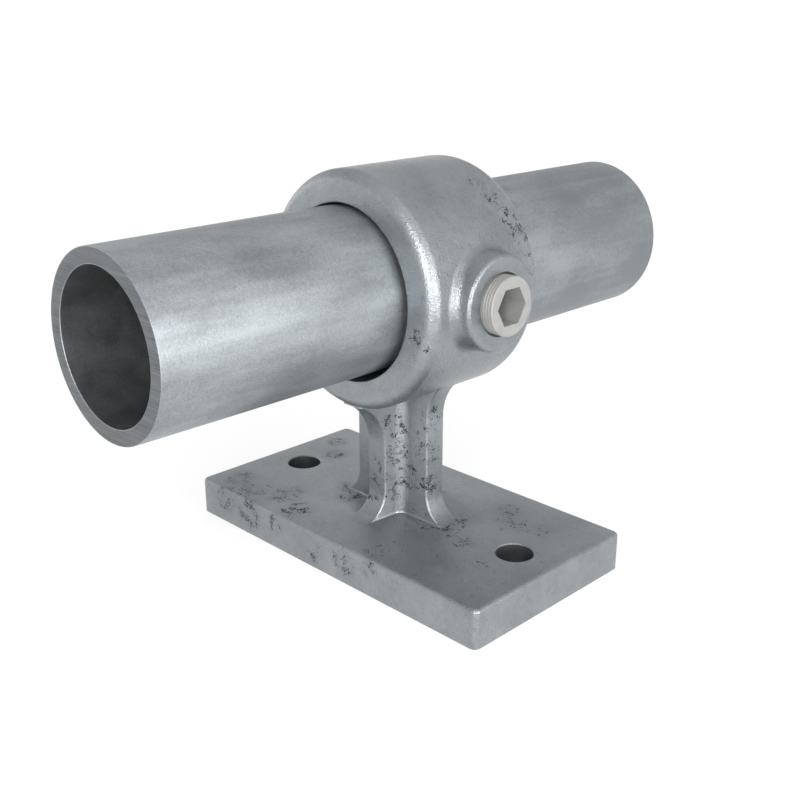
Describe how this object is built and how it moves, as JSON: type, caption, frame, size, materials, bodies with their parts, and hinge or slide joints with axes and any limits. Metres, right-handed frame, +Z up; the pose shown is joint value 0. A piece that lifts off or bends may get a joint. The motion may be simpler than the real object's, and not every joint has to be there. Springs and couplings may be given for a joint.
{
  "type": "handrail bracket",
  "caption": "Cast handrail bracket: a round collar with a side set screw holds a length of steel tube, on a cross-ribbed stem and a rectangular base plate with bolt holes.",
  "frame": {"origin": "centre of the base plate's underside", "axes": "+X along the base plate towards the set screw, +Y along the handrail tube, +Z up from the plate"},
  "size_m": [0.121, 0.195, 0.118],
  "materials": {
    "casting": "hot-dip galvanised malleable iron, satin grey",
    "screw": "zinc plated steel, matte",
    "tube": "hot-dip galvanised steel, soft spangle"
  },
  "bodies": {
    "root": {"bracket_casting": "casting", "set_screw": "screw", "handrail_tube": "tube"}
  },
  "joints": []
}
